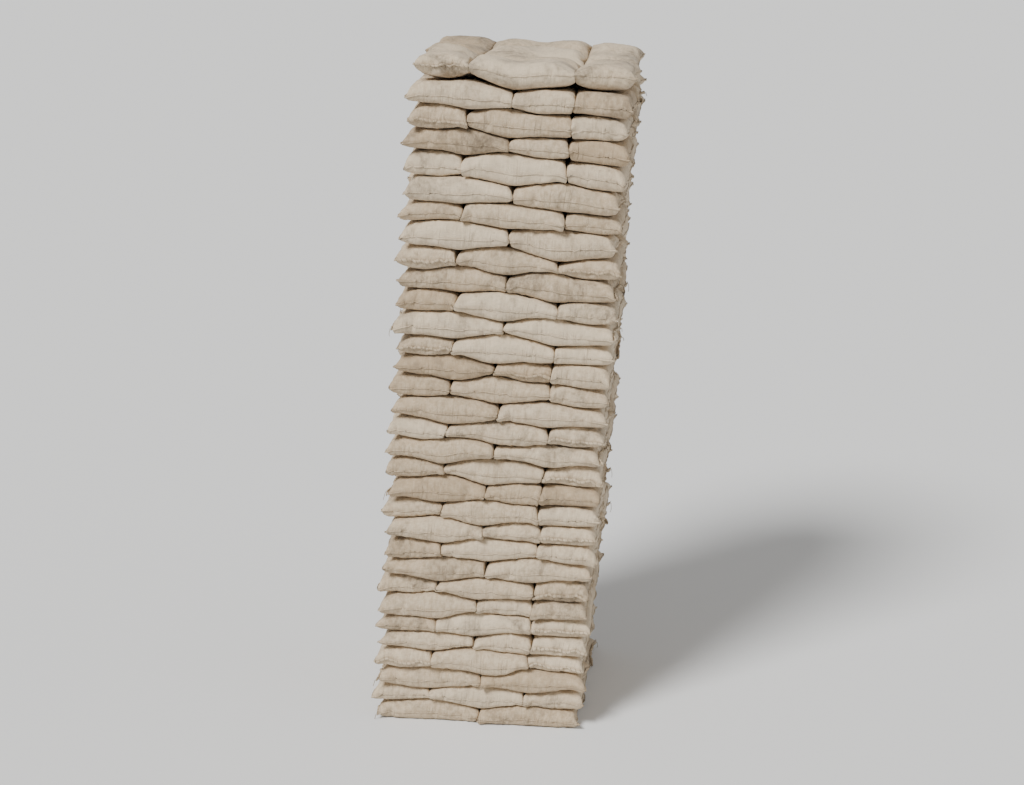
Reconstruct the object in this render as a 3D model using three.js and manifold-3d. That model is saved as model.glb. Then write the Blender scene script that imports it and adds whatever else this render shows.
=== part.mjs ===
// A free-standing stack of filled, sewn jute sacks, laid flat, with sides and ends by turns at the front.
// Each mesh is one course: a ring of sacks pressed against each other, with the grooves between them.
// Millimetres, +Z up, the front towards -Y, the origin under the middle of the stack's bounding box.
import * as THREE from 'three';
import { ConvexGeometry } from 'three/addons/geometries/ConvexGeometry.js';
import { mergeVertices } from 'three/addons/utils/BufferGeometryUtils.js';
import Module from 'manifold-3d';

const wasm = await Module();
wasm.setup();

// A filled sack as it lies, and the stack's square footprint of one length and two widths.
const SACK_LENGTH = 810;
const SACK_WIDTH = 465;
const STACK_WIDTH = SACK_LENGTH + 2 * SACK_WIDTH;
const HALF = STACK_WIDTH / 2;
// Two sacks end to end share the footprint, four lie side by side in it.
const END_GAP = 30;
const PAIR_LENGTH = (STACK_WIDTH - END_GAP) / 2;
const QUARTER_WIDTH = STACK_WIDTH / 4;

// Courses, counted from the floor. The load flattens the lower ones.
const COURSES = 32;
const FLOOR_PITCH = 162;
const TOP_PITCH = 186;
// Courses whose front shows one sack's side and two ends, counted from the top.
const SPLIT_FRONTS = [2, 4, 14, 20, 22, 26, 28];

// The stack leans to +X as it rises, and its courses sag towards +X the higher they lie.
const LEAN = 0.07;
const SAG_AT_TOP = 100;

// A sack's outline: how far its flat top and bottom stay inside the seam's rectangle.
const END_ROUNDING = 84;
const SIDE_ROUNDING = 52;
const EAR_REACH = 6;
const SEAM_HEIGHT = 0.45;
// The free upper side of the top course swells.
const CROWN = 26;
const CROWN_INSET = 150;
// Neighbouring courses keep this much air between their flat faces.
const COURSE_AIR = 0.4;
// Hidden sacks inside a course are one plain block this far behind the faces.
const CORE_INSET = 165;
// How far a course, and a sack's free end, may lie out of line.
const COURSE_SHIFT = 8;
const SACK_SHIFT = 12;

// A repeatable number from -1 to 1 for a course and a place in it.
function wobble(course, place) {
  const s = Math.sin(course * 12.9898 + place * 78.233) * 43758.5453;
  return 2 * (s - Math.floor(s)) - 1;
}

// The height of the joint above a number of courses.
function jointHeight(courses) {
  const growth = (TOP_PITCH - FLOOR_PITCH) / (COURSES - 1);
  return courses * FLOOR_PITCH + growth * courses * (courses - 1) / 2;
}

// Two rows of paired sacks along X at the front and back, and crossing sacks between them.
function pairedRows() {
  const inner = HALF - SACK_WIDTH;
  const pairs = [-1, 1].flatMap((front) => [-1, 1].map((side) => {
    const name = `${front < 0 ? 'front' : 'back'}_${side < 0 ? 'left' : 'right'}`;
    const x = side * (END_GAP + PAIR_LENGTH) / 2;
    const y = front * (HALF - SACK_WIDTH / 2);
    return { name, x, y, sizeX: PAIR_LENGTH, sizeY: SACK_WIDTH };
  }));
  const crossing = [0, 1, 2, 3].map((i) => {
    const name = ['side_left', 'inner_left', 'inner_right', 'side_right'][i];
    const x = (i - 1.5) * QUARTER_WIDTH;
    return { name, x, y: 0, sizeX: QUARTER_WIDTH, sizeY: 2 * inner };
  });
  return [...pairs, ...crossing];
}

// The same course turned a quarter round, so that sack ends stand at the front's corners.
function turnedRows() {
  const turnedName = {
    front_left: 'front_left', front_right: 'back_left', back_left: 'front_right',
    back_right: 'back_right', side_left: 'front_middle', inner_left: 'inner_front',
    inner_right: 'inner_back', side_right: 'back_middle',
  };
  return pairedRows().map(({ name, x, y, sizeX, sizeY }) => (
    { name: turnedName[name], x: y, y: x, sizeX: sizeY, sizeY: sizeX }));
}

// One sack along the front's left, then two sack ends, with paired sacks along the back.
function splitRows() {
  const back = pairedRows().filter(({ name }) => name.startsWith('back'));
  const inner = HALF - SACK_WIDTH;
  const middleX = -HALF + SACK_LENGTH + SACK_WIDTH / 2;
  const acrossY = -HALF + SACK_LENGTH / 2;
  const sideX = HALF - SACK_LENGTH / 2;
  const sideY = inner - SACK_WIDTH / 2;
  const frontX = -HALF + SACK_LENGTH / 2;
  const frontY = -HALF + SACK_WIDTH / 2;
  const innerX = -HALF + SACK_WIDTH * 1.5;
  return [
    { name: 'front_left', x: frontX, y: frontY, sizeX: SACK_LENGTH, sizeY: SACK_WIDTH },
    { name: 'front_middle', x: middleX, y: acrossY, sizeX: SACK_WIDTH, sizeY: SACK_LENGTH },
    { name: 'front_right', x: middleX + SACK_WIDTH, y: acrossY, sizeX: SACK_WIDTH, sizeY: SACK_LENGTH },
    { name: 'side_left', x: -HALF + SACK_WIDTH / 2, y: 0, sizeX: SACK_WIDTH, sizeY: 2 * inner },
    { name: 'side_right', x: sideX, y: sideY, sizeX: SACK_LENGTH, sizeY: SACK_WIDTH },
    { name: 'inner', x: innerX, y: 0, sizeX: SACK_WIDTH, sizeY: 2 * inner },
    ...back,
  ];
}

function sacksOf(course) {
  const fromTop = COURSES - course + 1;
  if (fromTop % 2 === 1) return turnedRows();
  return SPLIT_FRONTS.includes(fromTop) ? splitRows() : pairedRows();
}

// The four corners of a rectangle of half sizes a and b.
function corners(x, y, a, b, z) {
  return [[1, 1], [-1, 1], [-1, -1], [1, -1]].map(([sx, sy]) => new THREE.Vector3(x + sx * a, y + sy * b, z));
}

// A sack between two heights: flat where it is pressed, with four ears at its seam.
function sackPoints({ x, y, sizeX, sizeY }, low, high, isTop) {
  const a = sizeX / 2;
  const b = sizeY / 2;
  const [insetX, insetY] = sizeX > sizeY ? [END_ROUNDING, SIDE_ROUNDING] : [SIDE_ROUNDING, END_ROUNDING];
  const seam = low + SEAM_HEIGHT * (high - low);
  const points = [
    ...corners(x, y, a + EAR_REACH, b + EAR_REACH, seam),
    ...corners(x, y, a - insetX, b - insetY, low),
    ...corners(x, y, a - insetX, b - insetY, high),
  ];
  if (isTop) points.push(...corners(x, y, a - CROWN_INSET, b - CROWN_INSET, high + CROWN));
  return points;
}

// A closed three.js geometry as a solid that can be joined.
function solidOf(geometry) {
  geometry.deleteAttribute('normal');
  geometry.deleteAttribute('uv');
  const merged = mergeVertices(geometry, 1e-3);
  return new wasm.Manifold(new wasm.Mesh({
    numProp: 3,
    vertProperties: new Float32Array(merged.attributes.position.array),
    triVerts: new Uint32Array(merged.index.array),
  }));
}

// The plain block that stands for the sacks hidden inside a course.
function coreSolid(low, high) {
  const size = STACK_WIDTH - 2 * CORE_INSET;
  const block = new THREE.BoxGeometry(size, size, high - low);
  block.translate(0, 0, (low + high) / 2);
  return solidOf(block);
}

// Lean and sag: a level plane stays a plane, tilted more the higher it lies.
function settle(x, y, z) {
  const sagPerHeight = SAG_AT_TOP / (STACK_WIDTH * jointHeight(COURSES));
  const centring = LEAN * jointHeight(COURSES) / 2;
  return [x + LEAN * z - centring, y, z * (1 - sagPerHeight * x)];
}

function courseGeometry(course) {
  const isTop = course === COURSES;
  const low = jointHeight(course - 1) + (course === 1 ? 0 : COURSE_AIR / 2);
  const high = jointHeight(course) - COURSE_AIR / 2;
  const shiftX = COURSE_SHIFT * wobble(course, 0);
  const shiftY = COURSE_SHIFT * wobble(course, 1);
  const sacks = sacksOf(course).filter(({ name }) => isTop || !name.startsWith('inner'));
  const solids = sacks.map((sack, place) => {
    const out = SACK_SHIFT * wobble(course, place + 2);
    const placed = { ...sack, x: sack.x + Math.sign(sack.x) * out, y: sack.y + Math.sign(sack.y) * out };
    return solidOf(new ConvexGeometry(sackPoints(placed, low, high, isTop)));
  });
  if (!isTop) solids.push(coreSolid(low, high));
  const joined = solids.reduce((whole, solid) => whole.add(solid)).getMesh();

  const positions = joined.vertProperties.slice();
  for (let i = 0; i < positions.length; i += 3) {
    const [x, y, z] = settle(positions[i] + shiftX, positions[i + 1] + shiftY, positions[i + 2]);
    positions.set([x, y, z], i);
  }
  const geometry = new THREE.BufferGeometry();
  geometry.setAttribute('position', new THREE.BufferAttribute(positions, 3));
  geometry.setIndex(new THREE.BufferAttribute(joined.triVerts, 1));
  geometry.computeVertexNormals();
  return geometry;
}

// Pale raw jute, a little greyer from course to course.
const paleJute = new THREE.Color(0.69, 0.63, 0.52);
const dustyJute = new THREE.Color(0.58, 0.54, 0.47);

const stack = new THREE.Group();
for (let course = 1; course <= COURSES; course += 1) {
  const tone = 0.5 + 0.5 * wobble(course, 20);
  const jute = new THREE.MeshStandardMaterial({
    color: paleJute.clone().lerp(dustyJute, tone), roughness: 0.9, metalness: 0,
  });
  const mesh = new THREE.Mesh(courseGeometry(course), jute);
  mesh.name = `sack_course_${String(course).padStart(2, '0')}`;
  stack.add(mesh);
}

export default stack;
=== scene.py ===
# A free-standing stack of filled, sewn jute sacks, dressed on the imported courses.
# Metres, +Z up, the front towards -Y.
# Every sack is a cloth bag that is blown up between two boards and then laid in its place.
import math
from collections import namedtuple

import bpy
import numpy as np
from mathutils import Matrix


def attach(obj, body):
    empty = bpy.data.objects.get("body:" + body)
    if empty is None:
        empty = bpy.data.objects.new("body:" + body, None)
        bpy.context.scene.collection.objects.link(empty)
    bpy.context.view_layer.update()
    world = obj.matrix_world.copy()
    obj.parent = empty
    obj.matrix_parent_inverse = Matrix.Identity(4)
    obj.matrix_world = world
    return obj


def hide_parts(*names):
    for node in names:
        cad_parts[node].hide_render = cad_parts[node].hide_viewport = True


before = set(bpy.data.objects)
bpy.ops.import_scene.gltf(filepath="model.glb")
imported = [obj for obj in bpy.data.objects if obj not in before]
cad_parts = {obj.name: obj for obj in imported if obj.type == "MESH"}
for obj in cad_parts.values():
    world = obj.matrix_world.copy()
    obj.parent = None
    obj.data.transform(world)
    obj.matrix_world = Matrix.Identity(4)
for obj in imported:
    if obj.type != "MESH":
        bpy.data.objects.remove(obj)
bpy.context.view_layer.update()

# The camera stands a little to the right of the stack and above its top.
CAMERA_PLACE = (1.75, -15.7, 7.25)
CAMERA_AIM = (0.02, 0.0, 2.69)
CAMERA_LENS = 68.0

# A filled sack as it lies, and the stack's square footprint of one length and two widths.
SACK_LENGTH = 0.810
SACK_WIDTH = 0.465
STACK_WIDTH = SACK_LENGTH + 2 * SACK_WIDTH
HALF = STACK_WIDTH / 2
END_GAP = 0.030
PAIR_LENGTH = (STACK_WIDTH - END_GAP) / 2
QUARTER_WIDTH = STACK_WIDTH / 4

# Courses, counted from the floor. The load flattens the lower ones.
COURSES = 32
FLOOR_PITCH = 0.162
TOP_PITCH = 0.186
SPLIT_FRONTS = (2, 4, 14, 20, 22, 26, 28)
LEAN = 0.07
SAG_AT_TOP = 0.100
COURSE_SHIFT = 0.008
SACK_SHIFT = 0.012

# The cloth of one sack before it is filled, with its sewn margin.
FLAT_LENGTH = 0.865
FLAT_WIDTH = 0.522
CELLS_LONG = 62
CELLS_WIDE = 38
MARGIN = 0.007
MARGIN_THICKNESS = 0.005
SHEET_LIFT = 0.05
CLOTH_BOW = (0.008, 0.018)
FIRST_FOLDS = 60
FIRST_FOLD_DEPTH = 0.0005
SHARPEST_FOLD = 0.003
BOARD_GAP = 0.175
OPEN_GAP = 0.262

# The mouth: its cloth is rolled up and sewn over and over with twine.
# The roll is made flatter than it is, because laying the sack makes its sides fuller.
ROLL_RADIUS = 0.0125
ROLL_OFFSET = 0.009
ROLL_FLATNESS = 0.68
ROLL_PINCH = 0.18
ROLL_TAPER = 0.6
STITCHES = 14
STITCH_SLANT = 0.55
STITCH_TURN = math.radians(140)
STITCH_CLEARANCE = 1.04
TWINE_RADIUS = 0.0026
TAIL_LENGTH = 0.072
TAIL_SWING = 0.009
MOUTH_SHARE = 0.3

# How the sacks settle on the courses below and above.
NESTING = 0.028
NESTING_REACH = 0.135
JOINT_WAVE = 0.008
SLUMP = 0.014
SLUMP_FADES_BELOW = 1.2
COURSE_AIR = 0.001
SEAM_DROP = 0.11

# The free ends and ears of a sack, and how crooked and lumpy it lies.
EAR_REACH = 0.004
EAR_OUT = 0.014
EAR_SIZE = 0.045
EAR_DROOP = 0.012
EAR_LIFT = 0.010
END_OUT = 0.010
END_FULLNESS = 0.45
END_REACH = 0.09
ASKEW = 0.010
LUMPS = 8
LUMP_DEPTH = 0.0024

# How the sacks press against their neighbours in a course.
JOINT_SQUEEZE = 0.026
JOINT_SOFTNESS = 0.004
JOINT_LEAN = 0.075
JOINT_SHIFT = 0.012
JOINT_FULLNESS = 0.9
JOINT_REACH = 0.08
WIDEST_SPACE = 0.06
LEAST_SHARED = 0.1

# The free upper side of the top course.
CROWN_HEIGHT = 0.216
CROWN_VALLEY = 0.40
CROWN_SQUEEZE = 0.032

# Colours of the cloth, from clean to soiled; the darkest also serves as painted shade at the seams and on
# the top course.
PALE_JUTE = (0.66, 0.54, 0.385, 1)
TAN_JUTE = (0.43, 0.32, 0.20, 1)
DIRT_AND_SHADE_JUTE = (0.14, 0.105, 0.07, 1)
DARK_TWINE = (0.20, 0.15, 0.09, 1)
LIGHT_TWINE = (0.42, 0.33, 0.21, 1)
FLOOR_PAINT = (0.82, 0.82, 0.81, 1)

# The cloth's relief, and how far from the rim the folds at the seams reach.
WEAVE_PITCH = 0.0042
WEAVE_DEPTH = 0.0009
SLUB_DEPTH = 0.0006
FOLD_DEPTH = 0.0055
DENT_DEPTH = 0.014
TWINE_DEPTH = 0.001
SIDE_FOLD_REACH = 0.095
END_FOLD_REACH = 0.14

# The studio: the sky's light, and how bright the camera sees it, which is as bright as the far floor.
SKY_LIGHT = 0.36
SKY_SEEN = 1.07

# How many bags are blown up, in how many steps, and how many triangles each keeps.
STEPS = 20
PRESSED_BAGS = 6
CROWN_BAGS = 3
BODY_TRIANGLES = 3000
MARGIN_TRIANGLES = 620
HIDDEN_TRIANGLES = 420

Slot = namedtuple("Slot", "name x y size_x size_y")
Bag = namedtuple("Bag", "body margin roll twine plain low high")

# Lengths below this are taken to be nothing.
NEAR = 1e-4


# Small helpers for objects and meshes
def activate(obj):
    bpy.ops.object.select_all(action="DESELECT")
    obj.select_set(True)
    bpy.context.view_layer.objects.active = obj


def select_nothing():
    bpy.ops.mesh.select_all(action="DESELECT")


def select_everything():
    bpy.ops.mesh.select_all(action="SELECT")


def pick(kind):
    # A step that makes edges or faces what is selected
    return lambda: bpy.ops.mesh.select_mode(type=kind)


def edit(obj, *steps):
    activate(obj)
    bpy.ops.object.mode_set(mode="EDIT")
    for step in steps:
        step()
    bpy.ops.object.mode_set(mode="OBJECT")


def points_of(mesh):
    points = np.empty(len(mesh.vertices) * 3, np.float32)
    mesh.vertices.foreach_get("co", points)
    return points.reshape(-1, 3).astype(float)


def set_points(mesh, points):
    mesh.vertices.foreach_set("co", points.astype(np.float32).ravel())
    mesh.update()


def triangles(obj):
    obj.data.calc_loop_triangles()
    return len(obj.data.loop_triangles)


def apply_modifier(obj, kind, **settings):
    activate(obj)
    modifier = obj.modifiers.new(kind.title(), kind)
    for key, value in settings.items():
        setattr(modifier, key, value)
    bpy.ops.object.modifier_apply(modifier=modifier.name)


def select_loose_rims():
    bpy.ops.mesh.select_non_manifold(extend=False, use_wire=False, use_boundary=True,
                                     use_multi_face=True, use_non_contiguous=False, use_verts=False)


def thin_out(obj, wanted):
    apply_modifier(obj, "DECIMATE", ratio=min(1.0, wanted / triangles(obj)))
    # Thinning can leave a face that hangs on an edge with two others already, and that face goes
    edit(obj, pick("EDGE"), select_nothing, select_loose_rims, pick("FACE"),
         lambda: bpy.ops.mesh.delete(type="FACE"))


def copy_of(obj, name):
    twin = obj.copy()
    twin.data = obj.data.copy()
    twin.name = name
    bpy.context.scene.collection.objects.link(twin)
    return twin


def join(objects, name):
    bpy.ops.object.select_all(action="DESELECT")
    for obj in objects:
        obj.select_set(True)
    bpy.context.view_layer.objects.active = objects[0]
    bpy.ops.object.join()
    objects[0].name = name
    objects[0].data.name = name
    return objects[0]


# The camera, at the photograph's viewing angle
def add_camera():
    bpy.ops.object.camera_add(location=CAMERA_PLACE)
    camera = bpy.context.object
    camera.name = "camera"
    camera.data.lens = CAMERA_LENS
    camera.data.dof.use_dof = False
    aim = np.array(CAMERA_AIM) - np.array(CAMERA_PLACE)
    level = math.hypot(aim[0], aim[1])
    camera.rotation_euler = (math.pi / 2 + math.atan2(aim[2], level), 0, math.atan2(-aim[0], aim[1]))
    bpy.context.scene.camera = camera


# Where the sacks lie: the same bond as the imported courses
def wobble(course, place):
    s = math.sin(course * 12.9898 + place * 78.233) * 43758.5453
    return 2 * (s - math.floor(s)) - 1


def joint_height(courses):
    growth = (TOP_PITCH - FLOOR_PITCH) / (COURSES - 1)
    return courses * FLOOR_PITCH + growth * courses * (courses - 1) / 2


def paired_rows():
    rows = []
    for front in (-1, 1):
        for side in (-1, 1):
            name = ("front" if front < 0 else "back") + ("_left" if side < 0 else "_right")
            x = side * (END_GAP + PAIR_LENGTH) / 2
            y = front * (HALF - SACK_WIDTH / 2)
            rows.append(Slot(name, x, y, PAIR_LENGTH, SACK_WIDTH))
    for i, name in enumerate(("side_left", "inner_left", "inner_right", "side_right")):
        rows.append(Slot(name, (i - 1.5) * QUARTER_WIDTH, 0, QUARTER_WIDTH, SACK_LENGTH))
    return rows


def turned_rows():
    turned = {
        "front_left": "front_left", "front_right": "back_left", "back_left": "front_right",
        "back_right": "back_right", "side_left": "front_middle", "inner_left": "inner_front",
        "inner_right": "inner_back", "side_right": "back_middle",
    }
    return [Slot(turned[s.name], s.y, s.x, s.size_y, s.size_x) for s in paired_rows()]


def split_rows():
    middle_x = -HALF + SACK_LENGTH + SACK_WIDTH / 2
    across_y = -HALF + SACK_LENGTH / 2
    side_y = SACK_LENGTH / 2 - SACK_WIDTH / 2
    front_y = -HALF + SACK_WIDTH / 2
    return [
        Slot("front_left", -HALF + SACK_LENGTH / 2, front_y, SACK_LENGTH, SACK_WIDTH),
        Slot("front_middle", middle_x, across_y, SACK_WIDTH, SACK_LENGTH),
        Slot("front_right", middle_x + SACK_WIDTH, across_y, SACK_WIDTH, SACK_LENGTH),
        Slot("side_left", -HALF + SACK_WIDTH / 2, 0, SACK_WIDTH, SACK_LENGTH),
        Slot("side_right", HALF - SACK_LENGTH / 2, side_y, SACK_LENGTH, SACK_WIDTH),
        Slot("inner", -HALF + SACK_WIDTH * 1.5, 0, SACK_WIDTH, SACK_LENGTH),
        *(s for s in paired_rows() if s.name.startswith("back")),
    ]


def is_inner(slot):
    return slot.name.startswith("inner")


def sacks_of(course):
    from_top = COURSES - course + 1
    if from_top % 2 == 1:
        rows = turned_rows()
    else:
        rows = split_rows() if from_top in SPLIT_FRONTS else paired_rows()
    shift_x = COURSE_SHIFT * wobble(course, 0)
    shift_y = COURSE_SHIFT * wobble(course, 1)
    placed = []
    place = 0
    for slot in rows:
        out = 0.0
        if course == COURSES or not is_inner(slot):
            out = SACK_SHIFT * wobble(course, place + 2)
            place += 1
        x = slot.x + np.sign(slot.x) * out + shift_x
        y = slot.y + np.sign(slot.y) * out + shift_y
        placed.append(slot._replace(x=x, y=y))
    return placed


def settle(points):
    sag_per_height = SAG_AT_TOP / (STACK_WIDTH * joint_height(COURSES))
    centring = LEAN * joint_height(COURSES) / 2
    x, y, z = points.T
    return np.stack([x + LEAN * z - centring, y, z * (1 - sag_per_height * x)], axis=1)


# The joints between the sacks of one course
def is_free(slot, axis, side):
    # True if this side of the sack is on the stack's outside
    centre, size = (slot.x, slot.size_x) if axis == 0 else (slot.y, slot.size_y)
    return abs(side * centre + size / 2 - HALF) < WIDEST_SPACE


def space_beyond(slot, axis, side, row):
    # The space from this side of the sack to the nearest neighbour that faces it
    spaces = []
    for other in row:
        away = (other.x - slot.x, other.y - slot.y)
        reach = ((slot.size_x + other.size_x) / 2, (slot.size_y + other.size_y) / 2)
        space = side * away[axis] - reach[axis]
        shared = reach[1 - axis] - abs(away[1 - axis])
        if abs(space) < WIDEST_SPACE and shared > LEAST_SHARED:
            spaces.append(space)
    return min(spaces, default=0.0)


def joints_of(slot, row):
    # How far from its middle the sack meets a neighbour, for each axis and side that has one
    joints = {}
    for axis, size in ((0, slot.size_x), (1, slot.size_y)):
        for side in (-1, 1):
            if not is_free(slot, axis, side):
                joints[axis, side] = (size + space_beyond(slot, axis, side, row)) / 2
    return joints


LAID = {}
for course in range(1, COURSES + 1):
    row = sacks_of(course)
    LAID[course] = [(slot, joints_of(slot, row)) for slot in row]


# The joints between courses: a sack sinks into the groove below it and swells into the groove above
def groove(course, x, y):
    # One over the joints of a course, and falling to nothing towards the middle of each sack
    inside = np.full(x.shape, -STACK_WIDTH)
    for slot, joints in LAID[course]:
        offset = (x - slot.x, y - slot.y)
        edges = [joint - side * offset[axis] for (axis, side), joint in joints.items()]
        inside = np.maximum(inside, np.min(edges, axis=0))
    return np.exp(-(np.maximum(inside, 0) / NESTING_REACH) ** 2)


def slump(level, x, y):
    # Long waves that whole groups of courses share, and that fade out at the floor
    waves = np.random.default_rng(7)
    sunk = np.zeros(x.shape)
    for _ in range(4):
        kx, ky, kz = waves.normal(0, 1, 3) * (2.6, 2.6, 1.5)
        sunk = sunk + SLUMP * np.sin(kx * x + ky * y + kz * level + waves.uniform(0, 2 * math.pi))
    return sunk * min(1.0, level / SLUMP_FADES_BELOW)


def joint_surface(courses, x, y):
    level = joint_height(courses)
    if courses == 0 or courses == COURSES:
        return np.full(x.shape, level)
    level = level + slump(level, x, y)
    waves = np.random.default_rng(courses)
    height = level + NESTING * (groove(courses + 1, x, y) - groove(courses, x, y))
    for _ in range(4):
        kx, ky = waves.normal(0, 4.5, 2)
        height = height + JOINT_WAVE * np.sin(kx * x + ky * y + waves.uniform(0, 2 * math.pi))
    return height


# One sack's cloth: two sheets sewn at the rim, with a narrow margin round them
def way_in(points):
    # How far inside the sewn rim a point of the flat cloth lies
    half = np.array((FLAT_LENGTH, FLAT_WIDTH)) / 2
    return np.min(half - np.abs(points[:, :2]), axis=1)


def flat_sheet(side):
    bpy.ops.mesh.primitive_grid_add(x_subdivisions=CELLS_LONG, y_subdivisions=CELLS_WIDE, size=1)
    sheet = bpy.context.object
    points = points_of(sheet.data)
    x, y = points[:, 0], points[:, 1]
    lift = np.sqrt(np.maximum(0, (1 - 4 * x * x) * (1 - 4 * y * y)))
    flat = np.stack([x * FLAT_LENGTH, y * FLAT_WIDTH, side * SHEET_LIFT * lift], axis=1)
    set_points(sheet.data, flat)
    if side < 0:
        edit(sheet, select_everything, bpy.ops.mesh.flip_normals)
    return sheet


def select_edges(obj, wanted):
    # Select the edges for which a function of their two ends' places says yes
    edit(obj, pick("EDGE"), select_nothing)
    points = points_of(obj.data)
    for one in obj.data.edges:
        first, second = one.vertices
        one.select = bool(wanted(points[first], points[second]))


def sewn_sheets():
    sheets = [flat_sheet(1), flat_sheet(-1)]
    bag = join(sheets, "bag")
    edit(bag, select_everything, lambda: bpy.ops.mesh.remove_doubles(threshold=NEAR / 10))
    body_count = len(bag.data.vertices)
    select_edges(bag, lambda *ends: max(way_in(np.array(ends))) < NEAR)
    grown = (1 + 2 * MARGIN / FLAT_LENGTH, 1 + 2 * MARGIN / FLAT_WIDTH, 1)
    edit(bag, bpy.ops.mesh.extrude_edges_move, lambda: bpy.ops.transform.resize(value=grown))
    return bag, body_count


def map_cloth(mesh, flat):
    uv = mesh.uv_layers.active or mesh.uv_layers.new(name="UVMap")
    uv.name = "UVMap"
    corners = np.empty(len(mesh.loops), np.int32)
    mesh.loops.foreach_get("vertex_index", corners)
    uv.data.foreach_set("uv", flat[corners, :2].astype(np.float32).ravel())


def board(height):
    bpy.ops.mesh.primitive_plane_add(size=3, location=(0, 0, height))
    plank = bpy.context.object
    if height > 0:
        edit(plank, select_everything, bpy.ops.mesh.flip_normals)
    plank.modifiers.new("Collision", "COLLISION")
    plank.collision.thickness_outer = 0.001
    plank.collision.cloth_friction = 8
    return plank


def start_folds(points, rng):
    # Faint waves from which the cloth's folds grow, and sides bowed out against their shrinking
    for _ in range(FIRST_FOLDS):
        kx, ky = rng.normal(0, 1, 2) * rng.uniform(15, 90)
        wave = np.sin(kx * points[:, 0] + ky * points[:, 1] + rng.uniform(0, 2 * math.pi))
        points[:, 2] += FIRST_FOLD_DEPTH * wave
    along = np.clip(points[:, 0] * 2 / FLAT_LENGTH, -1, 1)
    across = np.clip(points[:, 1] * 2 / FLAT_WIDTH, -1, 1)
    points[:, 0] += CLOTH_BOW[0] * along * (1 - across ** 2)
    points[:, 1] += CLOTH_BOW[1] * across * (1 - along ** 4)
    return points


def blow_up(bag, body_count, top):
    bag.vertex_groups.new(name="filled").add(list(range(body_count)), 1.0, "REPLACE")
    boards = [board(-BOARD_GAP / 2), board(top)]
    cloth = bag.modifiers.new("Cloth", "CLOTH")
    fabric = cloth.settings
    fabric.quality = 6
    fabric.mass = 0.15
    fabric.tension_stiffness = fabric.compression_stiffness = 60
    fabric.shear_stiffness = 20
    fabric.bending_stiffness = 0.3
    fabric.tension_damping = fabric.compression_damping = fabric.shear_damping = 5
    fabric.air_damping = 3
    fabric.use_pressure = True
    fabric.uniform_pressure_force = 8
    fabric.vertex_group_pressure = "filled"
    fabric.effector_weights.gravity = 0
    cloth.collision_settings.distance_min = 0.001
    cloth.collision_settings.use_self_collision = False
    for step in range(1, STEPS + 1):
        bpy.context.scene.frame_set(step)
    activate(bag)
    bpy.ops.object.modifier_apply(modifier="Cloth")
    bpy.context.scene.frame_set(1)
    for plank in boards:
        bpy.data.objects.remove(plank)


def ease_spikes(mesh, points, loose):
    # A point that stands out too far from the middle of its neighbours is drawn back towards it
    ends = np.empty(len(mesh.edges) * 2, np.int32)
    mesh.edges.foreach_get("vertices", ends)
    ends = ends.reshape(-1, 2)
    own, other = np.concatenate([ends, ends[:, ::-1]]).T
    neighbours = np.bincount(own)[:, None]
    for _ in range(4):
        middle = np.zeros_like(points)
        np.add.at(middle, own, points[other])
        off = points - middle / neighbours
        length = np.linalg.norm(off, axis=1, keepdims=True)
        excess = np.maximum(0, 1 - SHARPEST_FOLD / np.maximum(length, 1e-9))
        points = np.where(loose[:, None], points - off * excess, points)
    return points


def cut_margin(bag, body_count):
    edit(bag, pick("FACE"), select_nothing)
    for face in bag.data.polygons:
        face.select = max(face.vertices) >= body_count
    edit(bag, lambda: bpy.ops.mesh.separate(type="SELECTED"))
    return next(o for o in bpy.context.selected_objects if o is not bag)


def upright_tube(sides, cuts):
    # A closed tube one metre high, cut into rings
    bpy.ops.mesh.primitive_cylinder_add(vertices=sides, radius=1, depth=1)
    tube = bpy.context.object
    select_edges(tube, lambda low, high: abs(low[2] - high[2]) > 0.5)
    edit(tube, lambda: bpy.ops.mesh.subdivide(number_cuts=cuts))
    return tube


def mouth_place(mouth, share):
    # The place on the mouth's line at a share of its length
    spots = np.clip(share, 0, 1) * (len(mouth) - 1)
    return np.stack([np.interp(spots, np.arange(len(mouth)), mouth[:, i]) for i in range(3)], axis=1)


def roll_radius(share):
    # The twine pulls the roll in at each stitch, and the roll thins towards its ends
    pulled = ROLL_PINCH * np.abs(np.sin(math.pi * share * STITCHES))
    return ROLL_RADIUS * (1 - pulled - ROLL_TAPER * np.abs(2 * share - 1) ** 8)


def make_roll(mouth):
    roll = upright_tube(8, 3 * STITCHES - 1)
    points = points_of(roll.data)
    share = points[:, 2] + 0.5
    turn = np.arctan2(-points[:, 1], points[:, 0])
    radius = roll_radius(share)
    cloth = np.stack([FLAT_LENGTH / 2 + ROLL_OFFSET + turn * ROLL_RADIUS, share * FLAT_WIDTH], axis=1)
    map_cloth(roll.data, cloth)
    spine = mouth_place(mouth, share)
    spine[:, 0] += ROLL_OFFSET + radius * np.cos(turn)
    spine[:, 2] += radius * ROLL_FLATNESS * np.sin(turn)
    set_points(roll.data, spine)
    return roll


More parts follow.
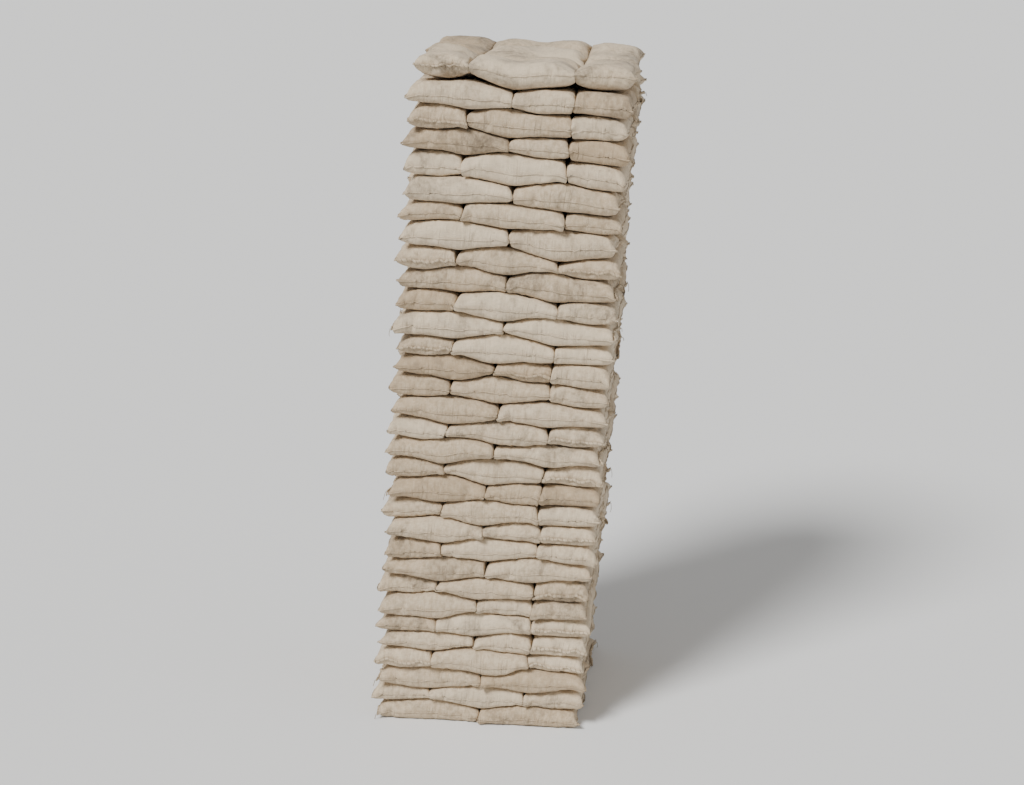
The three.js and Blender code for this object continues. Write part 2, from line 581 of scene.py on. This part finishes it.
def make_twine(mouth):
    # The stitches are tubes one above the other, and each is bent over the roll
    twine = upright_tube(4, 5)
    spacing = 2
    apply_modifier(twine, "ARRAY", count=STITCHES, use_relative_offset=False,
                   use_constant_offset=True, constant_offset_displace=(0, 0, spacing))
    points = points_of(twine.data)
    stitch = np.round(points[:, 2] / spacing)
    share = points[:, 2] - spacing * stitch + 0.5
    turn = STITCH_TURN * (1 - 2 * share)
    along = (stitch + 0.5 + STITCH_SLANT * (share - 0.5)) / STITCHES
    around = STITCH_CLEARANCE * roll_radius(along) + points[:, 0] * TWINE_RADIUS
    spine = mouth_place(mouth, along)
    spine[:, 0] += ROLL_OFFSET + around * np.cos(turn)
    spine[:, 1] -= points[:, 1] * TWINE_RADIUS
    spine[:, 2] += around * ROLL_FLATNESS * np.sin(turn)
    set_points(twine.data, spine)

    # The loose end hangs down at one side of the mouth
    tail = upright_tube(4, 9)
    points = points_of(tail.data)
    share = 0.5 - points[:, 2]
    fall = mouth_place(mouth, np.full(len(points), 1 - 0.4 / STITCHES))
    fall[:, :2] += points[:, :2] * TWINE_RADIUS
    fall[:, 0] += ROLL_OFFSET + ROLL_RADIUS + TAIL_SWING * np.sin(2.6 * share)
    fall[:, 1] += TAIL_SWING * np.sin(4.2 * share)
    fall[:, 2] -= TAIL_LENGTH * share
    set_points(tail.data, fall)
    return join([twine, tail], "stitches")


def make_bag(number, top, jute, twine):
    bag, body_count = sewn_sheets()
    rng = np.random.default_rng(100 + number)
    flat = points_of(bag.data)
    map_cloth(bag.data, flat)
    at_mouth = np.flatnonzero(np.abs(flat[:, 0] - FLAT_LENGTH / 2 - MARGIN) < NEAR)
    at_mouth = at_mouth[np.argsort(flat[at_mouth, 1])]
    inside = way_in(flat) > 10 * NEAR
    set_points(bag.data, start_folds(flat, rng))
    blow_up(bag, body_count, top)
    set_points(bag.data, ease_spikes(bag.data, points_of(bag.data), inside))
    points = points_of(bag.data)
    body = points[:body_count]
    mouth = points[at_mouth]
    margin = cut_margin(bag, body_count)
    apply_modifier(margin, "SOLIDIFY", thickness=MARGIN_THICKNESS, offset=0)
    plain = copy_of(bag, "plain_bag")
    thin_out(bag, BODY_TRIANGLES)
    thin_out(plain, HIDDEN_TRIANGLES)
    thin_out(margin, MARGIN_TRIANGLES)
    roll = make_roll(mouth)
    stitches = make_twine(mouth)
    for piece in (bag, margin, plain, roll):
        piece.data.materials.append(jute)
    stitches.data.materials.append(twine)
    return Bag(bag, margin, roll, stitches, plain, body.min(axis=0), body.max(axis=0))


# The way from a bag's own points to its place in the stack
def filled_out(w, inside, fullness, reach):
    # A fuller profile: w is the share of the height from -0.5 to 0.5, inside the way in from the side
    power = 1 + fullness * np.exp(-(np.maximum(inside, 0) / reach) ** 2)
    return np.sign(w) * (1 - (1 - 2 * np.abs(w)) ** power) / 2


def joint_face(course, x, y, w):
    # The face between two neighbours slants and lies a little off its place; both sacks use the same one
    waves = np.random.default_rng(500 + course)
    shift = np.zeros(x.shape)
    for reach in (JOINT_LEAN * w, JOINT_SHIFT):
        kx, ky = waves.normal(0, 5, 2)
        shift = shift + reach * np.sin(kx * x + ky * y + waves.uniform(0, 2 * math.pi))
    return shift


def end_reach(slot, joints, axis, squeeze, rng):
    # How far the sack reaches on its low and high side along an axis
    half = (slot.size_x, slot.size_y)[axis] / 2
    out = END_OUT * np.clip(rng.normal(0, 1, 2), -2, 2)
    reaches = []
    for side, push in zip((-1, 1), out):
        joint = joints.get((axis, side))
        reaches.append(joint + squeeze if joint else half + EAR_REACH + push)
    return reaches


def laying(bag, slot, joints, course, mouth_side, mouth_out, rng):
    # A function that takes a bag's own points to their place in the stack
    along_x = slot.size_x > slot.size_y
    is_top = course == COURSES
    squeeze = JOINT_SQUEEZE + (CROWN_SQUEEZE if is_top else 0)
    low_x, high_x = end_reach(slot, joints, 0, squeeze, rng)
    low_y, high_y = end_reach(slot, joints, 1, squeeze, rng)
    reaches = {(0, -1): low_x, (0, 1): high_x, (1, -1): low_y, (1, 1): high_y}
    ends = [(axis, side, edge) for (axis, side), edge in reaches.items() if (axis, side) not in joints]
    centre = (bag.low + bag.high) / 2
    half = (bag.high - bag.low) / 2
    turned_over = -1 if not (is_top or mouth_out) and rng.random() < 0.5 else 1
    askew = rng.normal(0, ASKEW)
    ears = []
    for side_x in (-1, 1):
        for side_y in (-1, 1):
            out_x = side_x * is_free(slot, 0, side_x) * rng.uniform(0, EAR_OUT)
            out_y = side_y * is_free(slot, 1, side_y) * rng.uniform(0, EAR_OUT)
            ears.append((side_x, side_y, out_x, out_y, rng.normal(-EAR_DROOP, EAR_LIFT)))
    lumps = []
    for _ in range(LUMPS):
        wave = rng.normal(0, 16, 3)
        phase = rng.uniform(0, 2 * math.pi)
        lumps.append((wave, phase, rng.normal(0, LUMP_DEPTH, 2)))

    def place(points):
        x, y, z = (points - (centre[0], centre[1], 0)).T
        beyond = np.maximum(np.abs(x) - half[0], 0)
        u = np.clip(x / half[0], -1, 1) * mouth_side
        v = y / half[1] * mouth_side * turned_over
        z = z * turned_over
        if not along_x:
            u, v = -v, u
        x = (high_x - low_x) / 2 + u * (high_x + low_x) / 2
        y = (high_y - low_y) / 2 + v * (high_y + low_y) / 2
        if along_x:
            x = x + np.sign(u) * beyond
        else:
            y = y + np.sign(v) * beyond
        for wave, phase, shift in lumps:
            swing = np.sin(wave[0] * x + wave[1] * y + wave[2] * z + phase)
            x, y = x + shift[0] * swing, y + shift[1] * swing
        x, y = x - askew * y, y + askew * x

        # The ears at the four corners
        rise = np.zeros(len(points))
        for side_x, side_y, out_x, out_y, lift in ears:
            off = (x - side_x * slot.size_x / 2) ** 2 + (y - side_y * slot.size_y / 2) ** 2
            near = np.exp(-off / EAR_SIZE ** 2)
            x, y, rise = x + out_x * near, y + out_y * near, rise + lift * near

        # The height as a share of the course, and the sides pressed flat against the neighbours
        if is_top:
            w = (z + BOARD_GAP / 2) / (bag.high[2] + BOARD_GAP / 2) - 0.5
        else:
            w = z / BOARD_GAP
        w = np.clip(w, -0.5, 0.5)
        place_xy = [x, y]
        for axis, side, edge in ends:
            w = filled_out(w, edge - side * place_xy[axis], END_FULLNESS, END_REACH)
        shift = joint_face(course, slot.x + x, slot.y + y, w)
        for (axis, side), joint in joints.items():
            face = joint + side * shift
            inside = face - side * place_xy[axis]
            if is_top:
                valley = CROWN_VALLEY * np.exp(-(np.maximum(inside, 0) / JOINT_REACH) ** 2)
                w = np.where(w > 0, w * (1 - valley), w)
            else:
                w = filled_out(w, inside, JOINT_FULLNESS, JOINT_REACH)
            inside = JOINT_SOFTNESS * np.logaddexp(0, inside / JOINT_SOFTNESS)
            place_xy[axis] = side * (face - inside)
        x, y = place_xy[0] + slot.x, place_xy[1] + slot.y

        floor = joint_surface(course - 1, x, y)
        if is_top:
            z = floor + (w + 0.5) * CROWN_HEIGHT + 0.5 * rise
        else:
            w = w - SEAM_DROP * (1 - 4 * w * w)
            roof = joint_surface(course, x, y)
            z = floor + COURSE_AIR / 2 + (w + 0.5) * (roof - floor - COURSE_AIR) + rise
        return settle(np.stack([x, y, np.maximum(z, 0)], axis=1))

    return place


def lay_piece(piece, name, place, marks):
    # A copy in its place, which carries its sack's marks and its own points' places on the bag
    laid = copy_of(piece, name)
    own = points_of(laid.data)
    set_points(laid.data, place(own))
    for label, value in marks.items():
        mark = laid.data.attributes.new(name=label, type="FLOAT", domain="POINT")
        mark.data.foreach_set("value", np.full(len(own), value, np.float32))
    spot = laid.data.attributes.new(name="cloth_place", type="FLOAT_VECTOR", domain="POINT")
    spot.data.foreach_set("vector", own.astype(np.float32).ravel())
    return laid


def outward_end(slot):
    # Which end of the sack is on the stack's outside: 1 or -1 along its length, or 0 for neither
    axis = 0 if slot.size_x > slot.size_y else 1
    free = [side for side in (-1, 1) if is_free(slot, axis, side)]
    return free[0] if free else 0


def lay_course(course, pressed, crowned):
    rng = np.random.default_rng(1000 + course)
    is_top = course == COURSES
    bags = crowned if is_top else pressed
    parts = []
    twines = []
    for slot, joints in LAID[course]:
        bag = bags[rng.integers(len(bags))]
        end = outward_end(slot)
        mouth_out = end != 0 and rng.random() < MOUTH_SHARE
        mouth_side = end if mouth_out else (-end or (1 if rng.random() < 0.5 else -1))
        place = laying(bag, slot, joints, course, mouth_side, mouth_out, rng)
        marks = {
            "tone": np.clip(rng.normal(0.35, 0.26), 0, 1),
            "stain_and_painted_shade": rng.random() ** 1.4,
            "seed": rng.uniform(0, 50),
        }
        # The top course gets a high soiling mark: painted shade on the stack's top, on top of the sacks'
        # own grime
        if is_top:
            marks["stain_and_painted_shade"] = 0.7 + 0.3 * marks["stain_and_painted_shade"]
        if is_inner(slot) and not is_top:
            parts.append(lay_piece(bag.plain, "sack", place, marks))
            continue
        parts.append(lay_piece(bag.body, "sack", place, marks))
        parts.append(lay_piece(bag.margin, "margin", place, marks))
        if mouth_out:
            parts.append(lay_piece(bag.roll, "roll", place, marks))
            twines.append(lay_piece(bag.twine, "stitches", place, marks))
    sacks = join(parts, f"sacks_{course:02d}")
    sacks.data.shade_smooth()
    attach(sacks, "root")
    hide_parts(f"sack_course_{course:02d}")
    return twines


# Shader nodes: small helpers, and the groups that the materials share
def node(tree, kind, settings=None, **inputs):
    made = tree.nodes.new(f"ShaderNode{kind}")
    for key, value in (settings or {}).items():
        setattr(made, key, value)
    for key, value in inputs.items():
        plug(tree, made.inputs[key.replace("_", " ")], value)
    return made


def plug(tree, socket, value):
    if isinstance(value, bpy.types.NodeSocket):
        tree.links.new(value, socket)
    else:
        socket.default_value = value


def math_node(tree, operation, *values):
    made = node(tree, "Math", {"operation": operation})
    for socket, value in zip(made.inputs, values):
        plug(tree, socket, value)
    return made.outputs[0]


def vector_node(tree, operation, first, second):
    made = node(tree, "VectorMath", {"operation": operation})
    plug(tree, made.inputs[0], first)
    plug(tree, made.inputs[1], second)
    return made.outputs[0]


def between(tree, value, low, high, start=0.0, end=1.0):
    made = node(tree, "MapRange", {"interpolation_type": "SMOOTHSTEP"},
                Value=value, From_Min=low, From_Max=high, To_Min=start, To_Max=end)
    return made.outputs[0]


def noise(tree, place, scale, seed=0.0, detail=3.0, rough=0.55, warp=0.0):
    made = node(tree, "TexNoise", {"noise_dimensions": "4D"},
                Vector=place, W=seed, Scale=scale, Detail=detail, Roughness=rough, Distortion=warp)
    return made.outputs[0]


def mix_colours(tree, share, first, second, blend="MIX"):
    made = node(tree, "Mix", {"data_type": "RGBA", "blend_type": blend})
    plug(tree, made.inputs[0], share)
    plug(tree, made.inputs[6], first)
    plug(tree, made.inputs[7], second)
    return made.outputs[2]


def new_group(name, inputs, outputs):
    group = bpy.data.node_groups.new(name, "ShaderNodeTree")
    for label, kind in inputs.items():
        group.interface.new_socket(label, in_out="INPUT", socket_type=f"NodeSocket{kind}")
    for label in outputs:
        group.interface.new_socket(label, in_out="OUTPUT", socket_type="NodeSocketFloat")
    return group, group.nodes.new("NodeGroupInput").outputs, group.nodes.new("NodeGroupOutput").inputs


def placed(tree, group, **inputs):
    made = tree.nodes.new("ShaderNodeGroup")
    made.node_tree = group
    for key, value in inputs.items():
        plug(tree, made.inputs[key], value)
    return made.outputs


def weave_group():
    # Plain weave: threads along and across the cloth take turns on top
    inputs = {"Cloth": "Vector", "Pitch": "Float"}
    tree, given, result = new_group("jute weave", inputs, ("Height", "Threads"))
    sway = node(tree, "TexNoise", Vector=given["Cloth"], Scale=16.0, Detail=2.0).outputs[1]
    sway = vector_node(tree, "MULTIPLY", sway, (0.006, 0.006, 0))
    cloth = vector_node(tree, "ADD", given["Cloth"], sway)
    spot = node(tree, "SeparateXYZ", Vector=cloth).outputs
    u = math_node(tree, "DIVIDE", spot[0], given["Pitch"])
    v = math_node(tree, "DIVIDE", spot[1], given["Pitch"])
    heights = []
    for own, other, sign in ((u, v, 0.5), (v, u, -0.5)):
        ridge = math_node(tree, "SINE", math_node(tree, "MULTIPLY", own, math.pi))
        ridge = math_node(tree, "ABSOLUTE", ridge)
        turn = math_node(tree, "ADD", other, math_node(tree, "FLOOR", own))
        wave = math_node(tree, "SINE", math_node(tree, "MULTIPLY", turn, math.pi))
        on_top = math_node(tree, "MULTIPLY_ADD", wave, sign, 0.5)
        heights.append(math_node(tree, "MULTIPLY", ridge, on_top))
    plug(tree, result["Height"], math_node(tree, "MAXIMUM", *heights))
    stretched = [vector_node(tree, "MULTIPLY", cloth, way) for way in ((300, 7, 1), (6, 260, 1))]
    threads = [noise(tree, way, 1.0, detail=1.0) for way in stretched]
    over = math_node(tree, "GREATER_THAN", *heights)
    made = node(tree, "Mix", Factor=over, A=threads[1], B=threads[0])
    plug(tree, result["Threads"], made.outputs[0])
    return tree


def streaks_group():
    # Slubs: bundles of thicker and thinner threads both ways, seen from farther away
    inputs = {"Cloth": "Vector", "Seed": "Float"}
    tree, given, result = new_group("slub streaks", inputs, ("Streaks",))
    along = noise(tree, vector_node(tree, "MULTIPLY", given["Cloth"], (75, 5, 1)), 1.0, given["Seed"])
    across = noise(tree, vector_node(tree, "MULTIPLY", given["Cloth"], (4, 95, 1)), 1.0, given["Seed"])
    both = math_node(tree, "ADD", along, across)
    plug(tree, result["Streaks"], math_node(tree, "MULTIPLY", both, 0.5))
    return tree


def soiling_group():
    # Handling and damp: broad clouds, finer mottling and a few uneven spots
    inputs = {"Place": "Vector", "Seed": "Float"}
    tree, given, result = new_group("soiling", inputs, ("Clouds", "Mottling", "Spots"))
    clouds = noise(tree, given["Place"], 4.5, given["Seed"], detail=5.0, rough=0.6, warp=0.6)
    plug(tree, result["Clouds"], between(tree, clouds, 0.42, 0.68))
    mottling = noise(tree, given["Place"], 34.0, given["Seed"], detail=5.0, rough=0.68)
    plug(tree, result["Mottling"], between(tree, mottling, 0.36, 0.66))
    moved = vector_node(tree, "ADD", given["Place"], node(tree, "CombineXYZ", X=given["Seed"]).outputs[0])
    cells = node(tree, "TexVoronoi", Vector=moved, Scale=9.0, Randomness=1.0)
    uneven = math_node(tree, "MULTIPLY_ADD", mottling, 0.5, cells.outputs["Distance"])
    near = between(tree, uneven, 0.28, 0.40, 1.0, 0.0)
    chosen = node(tree, "SeparateXYZ", Vector=cells.outputs["Color"]).outputs[0]
    few = math_node(tree, "GREATER_THAN", chosen, 0.80)
    plug(tree, result["Spots"], math_node(tree, "MULTIPLY", near, few))
    return tree


def seam_group():
    # Near the sewn rim the cloth is gathered in small folds that run away from the seam, and the rim is
    # marked for darkening: rubbed grime and painted shade
    inputs = {"Cloth": "Vector", "Seed": "Float"}
    tree, given, result = new_group("seam folds", inputs, ("Folds", "Rim"))
    spot = node(tree, "SeparateXYZ", Vector=given["Cloth"]).outputs
    folds = []
    rims = []
    loose = noise(tree, given["Cloth"], 6.0, given["Seed"], detail=1.0)
    loose = between(tree, loose, 0.40, 0.60, 0.15, 1.0)
    long_rim = (spot[1], spot[0], FLAT_WIDTH / 2, SIDE_FOLD_REACH)
    short_rim = (spot[0], spot[1], FLAT_LENGTH / 2, END_FOLD_REACH)
    for own, other, half, reach in (long_rim, short_rim):
        inside = math_node(tree, "SUBTRACT", half, math_node(tree, "ABSOLUTE", own))
        fade = between(tree, inside, 0.004, reach, 1.0, 0.0)
        side = math_node(tree, "SIGN", own)
        stretched = node(tree, "CombineXYZ", X=math_node(tree, "MULTIPLY", other, 44.0),
                         Y=math_node(tree, "MULTIPLY", own, 6.0), Z=math_node(tree, "MULTIPLY", side, 7.0))
        waves = noise(tree, stretched.outputs[0], 1.0, given["Seed"], detail=2.0, rough=0.5)
        folds.append(math_node(tree, "MULTIPLY", fade, between(tree, waves, 0.34, 0.66)))
        rims.append(between(tree, inside, 0.0, 0.022, 1.0, 0.0))
    plug(tree, result["Folds"], math_node(tree, "MULTIPLY", loose, math_node(tree, "MAXIMUM", *folds)))
    plug(tree, result["Rim"], math_node(tree, "MAXIMUM", *rims))
    return tree


def attribute(tree, name, output="Fac"):
    return node(tree, "Attribute", {"attribute_name": name}).outputs[output]


def new_material(name, roughness, sheen):
    material = bpy.data.materials.new(name)
    material.use_nodes = True
    shader = material.node_tree.nodes["Principled BSDF"]
    shader.inputs["Roughness"].default_value = roughness
    shader.inputs["Sheen Weight"].default_value = sheen
    return material, material.node_tree, shader


def jute_material(weave, streaks, soiling, seam):
    jute, tree, shader = new_material("jute", 0.9, 0.08)
    cloth = node(tree, "UVMap", {"uv_map": "UVMap"}).outputs[0]
    place = attribute(tree, "cloth_place", "Vector")
    seed = attribute(tree, "seed")
    threads = placed(tree, weave, Cloth=cloth, Pitch=WEAVE_PITCH)
    slubs = placed(tree, streaks, Cloth=cloth, Seed=seed)
    soil = placed(tree, soiling, Place=place, Seed=seed)
    rim = placed(tree, seam, Cloth=cloth, Seed=seed)

    # Colour: pale to tan jute from sack to sack, then threads with painted shade in the weave's hollows,
    # clouds, spots, and grime with painted shade at the seam
    tone = math_node(tree, "MULTIPLY_ADD", slubs["Streaks"], 0.20, -0.19)
    tone = math_node(tree, "ADD", attribute(tree, "tone"), tone)
    tone = math_node(tree, "MULTIPLY_ADD", soil["Mottling"], 0.42, tone)
    colour = mix_colours(tree, between(tree, tone, -0.05, 1.15), PALE_JUTE, TAN_JUTE)
    # Thread colour, darker where the weave lies low: painted shade in the weave's hollows
    shade = math_node(tree, "MULTIPLY_ADD", threads["Threads"], 0.7, 0.50)
    shade = math_node(tree, "MULTIPLY_ADD", threads["Height"], 0.36, shade)
    shade_colour = node(tree, "CombineColor", Red=shade, Green=shade, Blue=shade).outputs[0]
    colour = mix_colours(tree, 1.0, colour, shade_colour, "MULTIPLY")
    broken = math_node(tree, "MULTIPLY_ADD", soil["Mottling"], 0.5, 0.5)
    # The sack's soiling mark sets how dark the clouds get; on the top course it also carries painted shade
    strength = math_node(tree, "MULTIPLY_ADD", attribute(tree, "stain_and_painted_shade"), 0.80, 0.12)
    dirt_and_painted_shade = math_node(tree, "MULTIPLY", soil["Clouds"], broken)
    dirt_and_painted_shade = math_node(tree, "MULTIPLY", dirt_and_painted_shade, strength)
    dirt_and_painted_shade = math_node(tree, "MAXIMUM", dirt_and_painted_shade, math_node(tree, "MULTIPLY", soil["Spots"], 0.35))
    # Darker along the sewn rim: rubbed grime and painted shade
    dirt_and_painted_shade = math_node(tree, "MAXIMUM", dirt_and_painted_shade, math_node(tree, "MULTIPLY", rim["Rim"], 0.14))
    colour = mix_colours(tree, dirt_and_painted_shade, colour, DIRT_AND_SHADE_JUTE)
    plug(tree, shader.inputs["Base Color"], colour)
    plug(tree, shader.inputs["Roughness"], between(tree, soil["Clouds"], 0.0, 1.0, 0.93, 0.82))

    # Relief in metres: folds at the seam, dents of the filling, slubs and the weave
    dents = noise(tree, place, 9.0, seed, detail=3.0, rough=0.5, warp=0.8)
    height = math_node(tree, "MULTIPLY", rim["Folds"], FOLD_DEPTH)
    height = math_node(tree, "MULTIPLY_ADD", dents, DENT_DEPTH, height)
    height = math_node(tree, "MULTIPLY_ADD", slubs["Streaks"], SLUB_DEPTH, height)
    height = math_node(tree, "MULTIPLY_ADD", threads["Height"], WEAVE_DEPTH, height)
    bump = node(tree, "Bump", Height=height, Distance=1.0, Strength=1.0)
    plug(tree, shader.inputs["Normal"], bump.outputs[0])
    return jute


def twine_material():
    twine, tree, shader = new_material("twine", 0.85, 0.05)
    place = attribute(tree, "cloth_place", "Vector")
    fibres = noise(tree, place, 420.0, attribute(tree, "seed"), detail=2.0)
    colour = mix_colours(tree, between(tree, fibres, 0.3, 0.7), DARK_TWINE, LIGHT_TWINE)
    plug(tree, shader.inputs["Base Color"], colour)
    height = math_node(tree, "MULTIPLY", fibres, TWINE_DEPTH)
    bump = node(tree, "Bump", Height=height, Distance=1.0, Strength=1.0)
    plug(tree, shader.inputs["Normal"], bump.outputs[0])
    return twine


# The floor and the light
def add_floor():
    bpy.ops.mesh.primitive_plane_add(size=400, location=(0, 0, -0.001))
    floor = bpy.context.object
    floor.name = "floor"
    paint, _, shader = new_material("floor_paint", 1, 0)
    shader.inputs["Base Color"].default_value = FLOOR_PAINT
    shader.inputs["Specular IOR Level"].default_value = 0
    floor.data.materials.append(paint)


def add_sun(name, turn, height, strength, softness):
    # turn is clockwise from the front, seen from above
    bpy.ops.object.light_add(type="SUN", location=(0, 0, 9))
    sun = bpy.context.object
    sun.name = name
    sun.data.energy = strength
    sun.data.angle = math.radians(softness)
    sun.rotation_euler = (math.radians(90 - height), 0, -math.radians(turn))


def add_light():
    add_sun("key", 34, 46, 3.9, 18)
    add_sun("fill", -75, 25, 0.4, 60)
    world = bpy.data.worlds.new("studio")
    world.use_nodes = True
    sky = world.node_tree.nodes["Background"]
    sky.inputs["Color"].default_value = (1, 1, 1, 1)
    seen = node(world.node_tree, "LightPath").outputs["Is Camera Ray"]
    strength = between(world.node_tree, seen, 0.0, 1.0, SKY_LIGHT, SKY_SEEN)
    plug(world.node_tree, sky.inputs["Strength"], strength)
    bpy.context.scene.world = world


add_camera()
jute = jute_material(weave_group(), streaks_group(), soiling_group(), seam_group())
twine = twine_material()
pressed = [make_bag(number, BOARD_GAP / 2, jute, twine) for number in range(PRESSED_BAGS)]
open_top = OPEN_GAP - BOARD_GAP / 2
crowned = [make_bag(PRESSED_BAGS + number, open_top, jute, twine) for number in range(CROWN_BAGS)]
twines = []
for course in range(1, COURSES + 1):
    twines += lay_course(course, pressed, crowned)
mouth_twine = join(twines, "mouth_twine")
mouth_twine.data.shade_smooth()
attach(mouth_twine, "root")
for bag in pressed + crowned:
    for piece in (bag.body, bag.margin, bag.roll, bag.twine, bag.plain):
        bpy.data.objects.remove(piece)
add_floor()
add_light()
